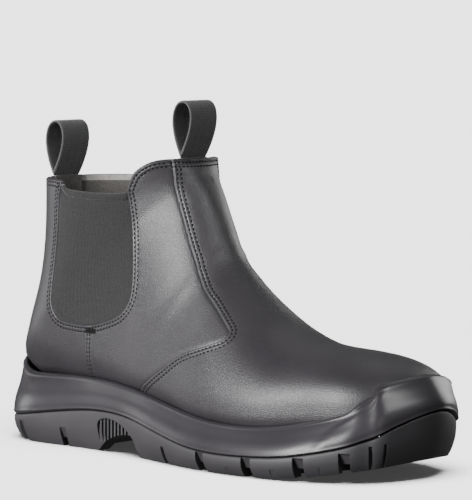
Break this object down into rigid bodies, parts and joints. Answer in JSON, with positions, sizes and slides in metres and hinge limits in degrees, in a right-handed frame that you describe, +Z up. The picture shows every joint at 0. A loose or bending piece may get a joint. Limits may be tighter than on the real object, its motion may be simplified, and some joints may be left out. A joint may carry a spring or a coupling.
{
  "type": "side gore work boot",
  "caption": "Ankle-high pull-on work boot with elastic side panels, webbing pull loops and a thick lugged sole with a bumped toe.",
  "frame": {"origin": "centre of the heel's tread on the floor", "axes": "+X from heel to toe, +Y to the side of the foot with the big toe, +Z up the shaft"},
  "size_m": [0.3023, 0.1076, 0.1998],
  "materials": {
    "leather": "smooth satin black",
    "elastic": "fine ribbed elastic weave",
    "webbing": "woven webbing",
    "midsole": "satin moulded foam",
    "rubber": "matt moulded rubber",
    "insole": "soft dark lining cloth"
  },
  "bodies": {
    "root": {"upper": "leather", "gore_outer": "elastic", "gore_inner": "elastic", "insole": "insole", "midsole": "midsole", "outsole": "rubber", "pull_loop_front": "webbing", "pull_loop_back": "webbing"}
  },
  "joints": []
}
